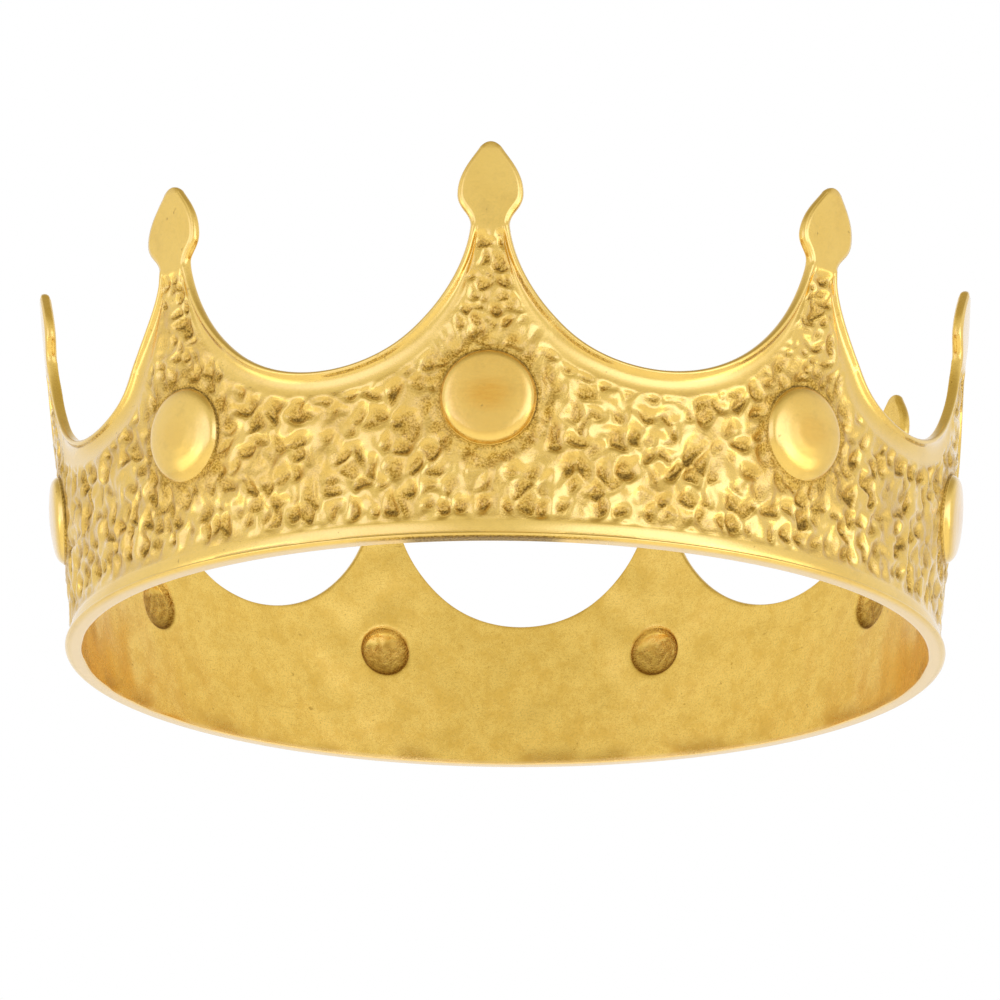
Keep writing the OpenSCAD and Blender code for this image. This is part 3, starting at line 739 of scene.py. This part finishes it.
gold = {  # linear colours of the cast gold, the darker ones also used for painted shade and one for a painted reflection
    "ridge": (0.845, 0.572, 0.124), "warm": (0.80, 0.525, 0.1), "pit": (0.76, 0.49, 0.095),
    "pitDark": (0.39, 0.215, 0.02), "rubbedAndReflected": (0.74, 0.385, 0.03), "stain": (0.5, 0.3, 0.05),
    "sootAndShade": (0.12, 0.062, 0.006), "rim": (0.87, 0.61, 0.22), "dimple": (0.25, 0.1, 0.004),
    "inner": (0.905, 0.615, 0.138), "innerDark": (0.8, 0.51, 0.09),
    # scale, detail, roughness and distortion of each noise
    "cloud": (55.0, 4.0, 0.55), "grain": (2400.0, 2.0, 0.65), "speck": (620.0, 3.0, 0.6),
    "mottle": (190.0, 7.0, 0.76, 0.2), "brush": (1.0, 3.0, 0.6), "brushScale": (260.0, 260.0, 1900.0),
    "coatRough": 0.17, "specular": 0.1, "bump": 0.65, "bumpHeight": 0.0004, "scratched": 0.7,
}
wear = {  # where each share begins and is full, and its two values there where they aren't nought and one
    "warm": (0.35, 0.7), "rubBrush": (0.3, 0.7, 0.7, 1.0), "pits": (0.05, 0.75), "pitGrain": (0.42, 0.58),
    "sand": (0.02, 0.25, 0.08, 0.24), "sandGrain": (0.4, 0.7), "stain": (0.48, 0.72, 0.0, 0.24),
    "spots": (0.68, 0.75, 0.0, 0.6),
    "innerMottle": (0.36, 0.68), "innerGrain": (0.42, 0.72, 0.0, 0.4), "dimpleGrain": (0.4, 0.6, 1.0, 0.5),
    "scratch": (0.62, 0.74), "scratchCloud": (0.45, 0.65),
    "sootAndShade": (0.78, 1.0), "deepOutside": (0.0, 1.0, 1.0, 0.0), "deepGrain": (0.3, 0.65, 1.0, 0.6),
    "deepMetal": (0.0, 1.0, 1.0, 0.25), "pitBump": (0.05, 0.6, 0.07, 1.0),
    "pitRough": (0.1, 0.8, 0.24, 0.48), "innerRough": (0.3, 0.7, 0.22, 0.32),
    "pitCoat": (0.1, 0.9, 0.9, 0.05), "innerCoat": (0.0, 1.0, 1.0, 0.15),
}


def goldMaterial():
    # noises on Object coordinates pick between the colours, by the shares that the finish holds
    material = bpy.data.materials.new("castGold")
    material.use_nodes = True
    material.node_tree.nodes.clear()
    t = Nodes(material.node_tree)
    place = t.add("ShaderNodeTexCoord").outputs["Object"]
    finish = t.add("ShaderNodeAttribute", attribute_name="finish")
    shares = t.add("ShaderNodeSeparateColor")
    t.link(finish.outputs["Color"], shares.inputs["Color"])
    pit, rubbedAndReflected, inner = shares.outputs
    rim = finish.outputs["Alpha"]
    noises = [t.noise(place, *gold[name]) for name in ("cloud", "grain", "speck", "mottle")]
    cloud, grain, speck, mottle = noises
    drawn = t.add("ShaderNodeMapping", Scale=gold["brushScale"])
    t.link(place, drawn.inputs["Vector"])
    brush = t.noise(drawn.outputs["Vector"], *gold["brush"])
    spots = t.ramp(speck, *wear["spots"])

    # outside: warm clouds, rubbed bosses with a painted reflection in their middles, grainy pits with
    # painted shade, faint stains and a few specks
    face = t.mix(t.ramp(cloud, *wear["warm"]), gold["ridge"], gold["warm"])
    face = t.mix(t.multiply(rubbedAndReflected, t.ramp(brush, *wear["rubBrush"])), face, gold["rubbedAndReflected"])
    floor = t.mix(t.ramp(grain, *wear["pitGrain"]), gold["pitDark"], gold["pit"])
    face = t.mix(t.ramp(pit, *wear["pits"]), face, floor)
    sand = t.multiply(t.ramp(grain, *wear["sandGrain"]), t.ramp(pit, *wear["sand"]))
    face = t.mix(sand, face, gold["pitDark"])
    face = t.mix(t.ramp(mottle, *wear["stain"]), face, gold["stain"])
    face = t.mix(spots, face, gold["pitDark"])

    # inside: mottled satin, grain, scratches, specks, and painted shade in the dimples and along the foot
    inside = t.mix(t.ramp(mottle, *wear["innerMottle"]), gold["inner"], gold["innerDark"])
    inside = t.mix(t.ramp(grain, *wear["innerGrain"]), inside, gold["stain"])
    scratch = t.multiply(t.ramp(brush, *wear["scratch"]), t.ramp(cloud, *wear["scratchCloud"]))
    inside = t.mix(t.multiply(scratch, gold["scratched"]), inside, gold["stain"])
    inside = t.mix(spots, inside, gold["pitDark"])
    inside = t.mix(t.multiply(pit, t.ramp(grain, *wear["dimpleGrain"])), inside, gold["dimple"])
    face = t.mix(inner, face, inside)
    face = t.mix(rim, face, gold["rim"])

    # soot and the deepest painted shade and dark reflection on the outside, where the metal hardly shines
    sootAndShadeShare = t.multiply(t.ramp(pit, *wear["sootAndShade"]), t.ramp(inner, *wear["deepOutside"]))
    face = t.mix(t.multiply(sootAndShadeShare, t.ramp(grain, *wear["deepGrain"])), face, gold["sootAndShade"])
    rough = t.add("ShaderNodeMix", data_type="FLOAT")
    t.link(inner, rough.inputs["Factor"])
    t.link(t.ramp(pit, *wear["pitRough"]), rough.inputs[2])
    t.link(t.ramp(mottle, *wear["innerRough"]), rough.inputs[3])
    bump = t.add("ShaderNodeBump", Strength=gold["bump"], Distance=gold["bumpHeight"])
    t.link(t.multiply(grain, t.ramp(pit, *wear["pitBump"])), bump.inputs["Height"])
    shader = t.add("ShaderNodeBsdfPrincipled", Coat_Roughness=gold["coatRough"],
                   Specular_IOR_Level=gold["specular"])
    coat = t.multiply(t.ramp(pit, *wear["pitCoat"]), t.ramp(inner, *wear["innerCoat"]))
    t.link(t.ramp(sootAndShadeShare, *wear["deepMetal"]), shader.inputs["Metallic"])
    t.link(coat, shader.inputs["Coat Weight"])
    t.link(face, shader.inputs["Base Color"])
    t.link(rough.outputs[0], shader.inputs["Roughness"])
    t.link(bump.outputs["Normal"], shader.inputs["Normal"])
    t.link(shader.outputs["BSDF"], t.add("ShaderNodeOutputMaterial").inputs["Surface"])
    return material


castGold = goldMaterial()
for casting in buildCrown():
    casting.data.materials.append(castGold)
    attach(casting, "root")
    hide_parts("crown")
print("crown dressed")

studio = {  # metres, directions and linear colours
    "floor": -0.36, "floorSize": 1.35, "floorCorners": 180, "floorTone": (0.9, 0.9, 0.9), "floorRough": 0.9,
    "front": (0.0, -1.0, 0.05), "frontTone": (0.91, 0.91, 0.91), "frontIn": (0.45, 0.93),
    "sideTone": (0.98, 0.98, 1.0), "highTone": (0.53, 0.475, 0.32), "highIn": (0.42, 0.92),
    "left": (-0.638, -0.76, -0.12), "leftTone": (1.42, 1.5, 2.35),
    "right": (0.638, -0.76, -0.12), "rightTone": (1.8, 1.96, 3.1), "windowIn": (0.83, 0.97),
    "seen": (1.0, 1.0, 1.0), "aim": (0, 0, 0.03),
    "lamps": {  # place, size and watts
        "stripLeft": ((-0.95, -0.4, -0.22), (0.6, 0.25), 0.5),
        "stripRight": ((0.95, -0.4, -0.22), (0.6, 0.25), 0.7),
        "floorLight": ((0.0, -0.2, 1.1), (0.9, 0.9), 15.0),
    },
}


def buildFloor():
    # a flat round sheet: one face whose corners are the cosine and sine of equal steps of a turn
    turn = np.linspace(0, 2 * np.pi, studio["floorCorners"], endpoint=False)
    verts = np.stack([studio["floorSize"] * np.cos(turn), studio["floorSize"] * np.sin(turn),
                      np.full(turn.shape, studio["floor"])], -1)
    mesh = bpy.data.meshes.new("studioFloor")
    mesh.from_pydata(verts.tolist(), [], [np.arange(turn.size).tolist()])
    floor = bpy.data.objects.new("studioFloor", mesh)
    bpy.context.scene.collection.objects.link(floor)
    material = bpy.data.materials.new("paleFloor")
    material.use_nodes = True
    shader = material.node_tree.nodes["Principled BSDF"]
    shader.inputs["Base Color"].default_value = studio["floorTone"] + (1.0,)
    shader.inputs["Roughness"].default_value = studio["floorRough"]
    mesh.materials.append(material)


def softLight(name):  # a rectangular lamp that faces the crown
    place, size, watts = studio["lamps"][name]
    light = bpy.data.lights.new(name, "AREA")
    light.shape, light.size, light.size_y, light.energy = "RECTANGLE", size[0], size[1], watts
    lamp = bpy.data.objects.new(name, light)
    bpy.context.scene.collection.objects.link(lamp)
    lamp.location = place
    lamp.rotation_euler = (Vector(studio["aim"]) - Vector(place)).to_track_quat("-Z", "Y").to_euler()
    return lamp


def whiteRoom():
    # a white room with two bright windows at the sides, dimmer straight in front and overhead
    world = bpy.data.worlds.new("whiteRoom")
    bpy.context.scene.world = world
    world.use_nodes = True
    t = Nodes(world.node_tree)
    place = t.add("ShaderNodeTexCoord").outputs["Generated"]
    toFront = t.ramp(t.toward(place, studio["front"]), *studio["frontIn"])
    room = t.mix(toFront, studio["sideTone"], studio["frontTone"])
    for side in ("left", "right"):
        window = t.ramp(t.toward(place, studio[side]), *studio["windowIn"])
        room = t.mix(window, room, studio[side + "Tone"])
    split = t.add("ShaderNodeSeparateXYZ")
    t.link(place, split.inputs[0])
    room = t.mix(t.ramp(split.outputs["Z"], *studio["highIn"]), room, studio["highTone"])
    seen = t.add("ShaderNodeLightPath").outputs["Is Camera Ray"]
    t.link(t.mix(seen, room, studio["seen"]), world.node_tree.nodes["Background"].inputs["Color"])


buildFloor()
whiteRoom()
lamps = {name: softLight(name) for name in studio["lamps"]}
lamps["floorLight"].visible_glossy = False
print("studio ready")

view = {  # degrees and millimetres, round the middle of the ring
    "azimuth": 2.337, "elevation": -17.633, "roll": 0.602, "distance": 841.5, "target": (-1.46, 0.0, 37.47),
    "focal": 137.63, "sensor": 36.0, "nearest": 10.0,
}


def buildCamera():
    # the camera stands back from its target at two angles, and is rolled about its own axis
    turn = Matrix.Rotation(np.radians(view["azimuth"]), 3, "Z")
    e, roll = np.radians(view["elevation"]), np.radians(view["roll"])
    back = turn @ Vector((0, -np.cos(e), np.sin(e)))
    right = turn @ Vector((1, 0, 0))
    up = back.cross(right)
    x, y = np.cos(roll) * right + np.sin(roll) * up, np.cos(roll) * up - np.sin(roll) * right
    place = turn @ (Vector(view["target"]) * mm) + back * view["distance"] * mm
    lens = bpy.data.cameras.new("camera")
    lens.lens, lens.sensor_width, lens.clip_start = view["focal"], view["sensor"], view["nearest"] * mm
    camera = bpy.data.objects.new("camera", lens)
    bpy.context.scene.collection.objects.link(camera)
    camera.matrix_world = Matrix.Translation(place) @ Matrix((x, y, back)).transposed().to_4x4()
    bpy.context.scene.camera = camera


buildCamera()
bpy.context.scene.view_settings.view_transform = "Standard"
print("camera set")
